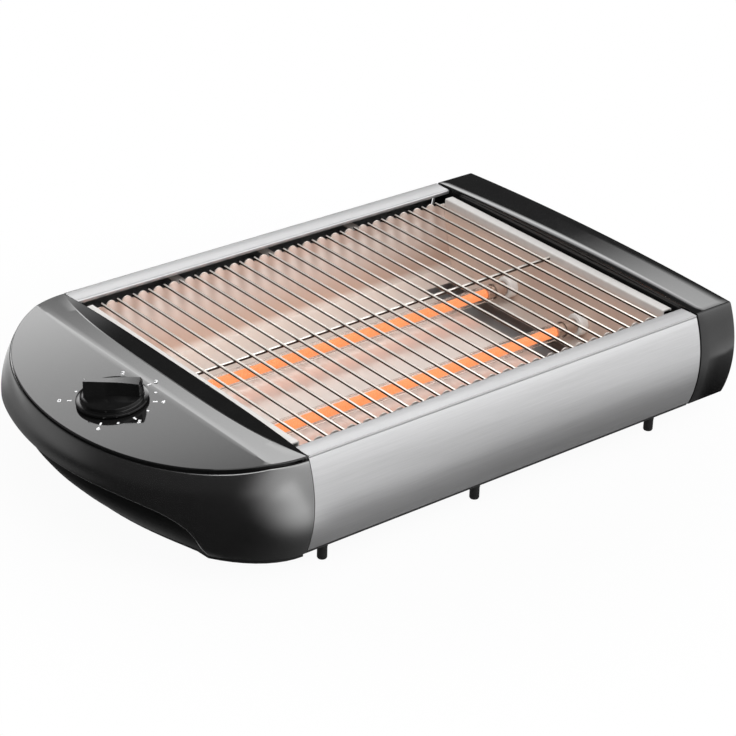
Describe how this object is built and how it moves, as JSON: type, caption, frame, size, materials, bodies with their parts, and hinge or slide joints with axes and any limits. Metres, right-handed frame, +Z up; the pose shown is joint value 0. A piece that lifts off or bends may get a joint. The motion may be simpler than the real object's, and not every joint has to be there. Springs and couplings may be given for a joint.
{
  "type": "flat toaster",
  "caption": "Low open-top flat toaster: rod grill over a reflector with quartz heating tubes, bowed steel sides, black control end with a turning timer knob, sliding crumb tray.",
  "frame": {"origin": "centre of the bounding box on the table, under the feet", "axes": "+X along the toaster towards the plain end cap, -Y towards the front panel, +Z up"},
  "size_m": [0.3947, 0.2466, 0.0806],
  "materials": {
    "gloss_black_plastic": "gloss moulded",
    "matte_black_plastic": "moulded",
    "brushed_panel_steel": "brushed lengthwise",
    "dark_base_steel": "painted black",
    "bright_rod_steel": "plated wire",
    "reflector_aluminium": "bright sheet",
    "tray_steel": "plain sheet",
    "quartz_glass": "clear tube",
    "heating_wire": "glowing wire",
    "ferrule_steel": "heat tinted",
    "white_ceramic": "unglazed",
    "contact_brass": "plain",
    "timer_plastic": "moulded",
    "zinc_steel": "zinc plated",
    "brown_lead": "insulated",
    "grey_lead": "insulated",
    "blue_lead": "insulated"
  },
  "bodies": {
    "toaster": {"control_panel": "gloss_black_plastic", "control_housing": "gloss_black_plastic", "end_cap": "gloss_black_plastic", "housing_base": "matte_black_plastic", "feet": "matte_black_plastic", "cord_gland": "matte_black_plastic", "front_panel": "brushed_panel_steel", "rear_panel": "brushed_panel_steel", "base_plate": "dark_base_steel", "wire_rack": "bright_rod_steel", "reflector": "reflector_aluminium", "left_end_wall": "reflector_aluminium", "right_end_wall": "reflector_aluminium", "tray_rail_front": "tray_steel", "tray_rail_rear": "tray_steel", "quartz_tube_front": "quartz_glass", "quartz_tube_rear": "quartz_glass", "heating_coil_front": "heating_wire", "heating_coil_rear": "heating_wire", "tube_ferrule_front_left": "ferrule_steel", "tube_ferrule_front_right": "ferrule_steel", "tube_ferrule_rear_left": "ferrule_steel", "tube_ferrule_rear_right": "ferrule_steel", "ceramic_bush_front_left": "white_ceramic", "ceramic_bush_front_right": "white_ceramic", "ceramic_bush_rear_left": "white_ceramic", "ceramic_bush_rear_right": "white_ceramic", "bus_bar": "contact_brass", "contact_fixed": "contact_brass", "contact_spring": "contact_brass", "timer_case": "timer_plastic", "timer_cover": "timer_plastic", "terminal_block": "timer_plastic", "timer_screws": "zinc_steel", "base_screws": "zinc_steel", "tab_screws": "zinc_steel", "wall_rivets": "zinc_steel", "lead_live": "brown_lead", "lead_heater": "grey_lead", "lead_neutral": "blue_lead"},
    "timer": {"timer_knob": "gloss_black_plastic", "timer_shaft": "zinc_steel", "switch_cam": "timer_plastic"},
    "tray": {"crumb_tray": "tray_steel"}
  },
  "joints": [
    {"name": "timer_turn", "type": "hinge", "parent": "toaster", "child": "timer", "pos_m": [-0.15765, -0.0045, 0.0658], "axis": [-0.1097, 0, 0.994], "range_deg": [-277, 0]},
    {"name": "tray_slide", "type": "slide", "parent": "toaster", "child": "tray", "axis": [1, 0, 0], "range_m": [0, 0.24]}
  ]
}
